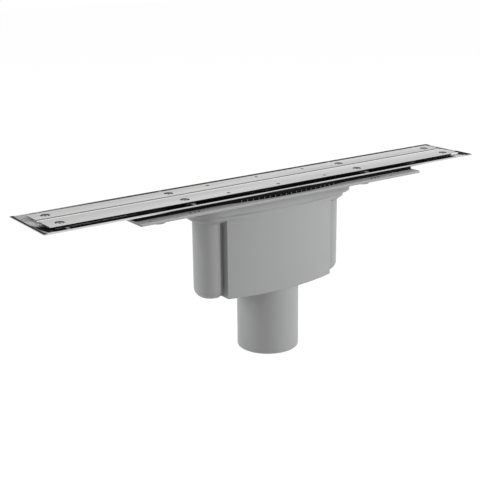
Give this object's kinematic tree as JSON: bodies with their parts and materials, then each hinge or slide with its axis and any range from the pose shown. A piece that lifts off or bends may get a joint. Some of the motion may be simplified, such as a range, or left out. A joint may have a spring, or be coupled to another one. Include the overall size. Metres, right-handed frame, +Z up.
{
  "type": "linear shower channel drain",
  "caption": "Shallow steel channel with a split cover and side slots, on a moulded flange and an oval trap with an upright outlet.",
  "frame": {"origin": "centre of the outlet's lower end", "axes": "+X along the channel, +Y to its back long side, +Z up; it stands on the outlet's lower end"},
  "size_m": [0.612, 0.103, 0.2068],
  "materials": {
    "steel": "satin",
    "screw_steel": "satin",
    "mat": "matte",
    "seal": "matte",
    "grey": "satin",
    "siphon": "satin",
    "brass": "satin"
  },
  "bodies": {
    "root": {"channel_tray": "steel", "front_cover": "steel", "rear_cover": "steel", "cover_bracket_1": "steel", "cover_bracket_2": "steel", "cover_bracket_3": "steel", "cover_bracket_4": "steel", "cover_screws": "screw_steel", "stiffener_rivets": "screw_steel", "front_stiffener": "steel", "rear_stiffener": "steel", "sealing_mat": "mat", "flange_plate": "grey", "trap_tank": "grey", "foot_inserts": "brass", "tank_seal": "seal", "standpipe": "siphon", "standpipe_seal": "seal", "trap_hood": "siphon", "hair_strainer": "siphon"}
  },
  "joints": []
}
